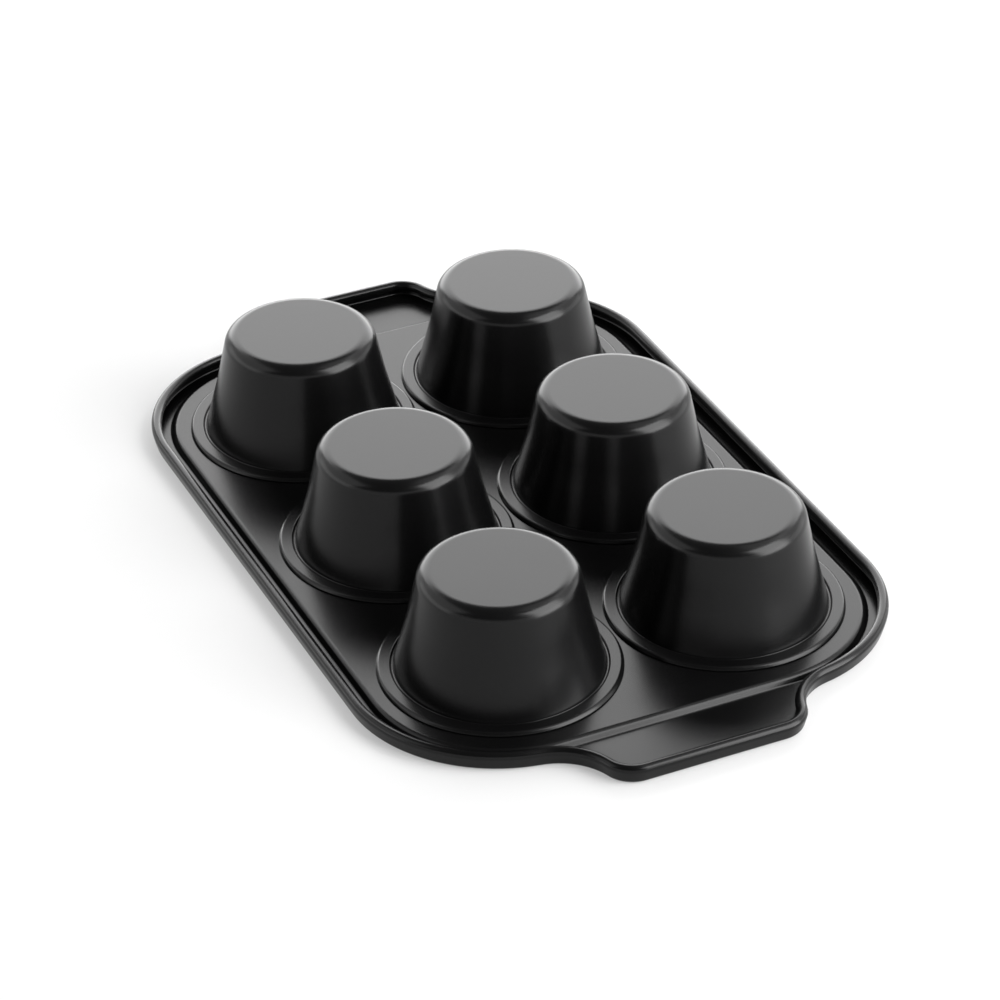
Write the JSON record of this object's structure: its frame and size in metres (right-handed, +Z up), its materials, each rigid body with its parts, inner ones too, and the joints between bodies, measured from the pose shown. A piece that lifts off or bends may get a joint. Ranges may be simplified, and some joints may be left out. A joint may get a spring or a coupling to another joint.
{
  "type": "muffin pan",
  "caption": "Dark non-stick muffin pan standing upside down: tapered round cups in a rounded rectangular sheet frame with tab handles and a wired rim.",
  "frame": {"origin": "on the surface that the pan stands on when it is upside down, under the middle of the pan", "axes": "+X across the pan, +Y along it from the front handle to the back one, +Z up, from the mouths of the cups to their bases; in use the pan is turned over about X"},
  "size_m": [0.1926, 0.3206, 0.0413],
  "materials": {
    "frame_coating": "satin black non-stick coating on sheet steel",
    "cup_coating": "satin black non-stick coating on sheet steel",
    "wire_steel": "drawn steel wire, hidden in the curled edge"
  },
  "bodies": {
    "root": {"frame": "frame_coating", "cup_front_left": "cup_coating", "cup_front_right": "cup_coating", "cup_middle_left": "cup_coating", "cup_middle_right": "cup_coating", "cup_back_left": "cup_coating", "cup_back_right": "cup_coating", "rim_wire": "wire_steel"}
  },
  "joints": []
}
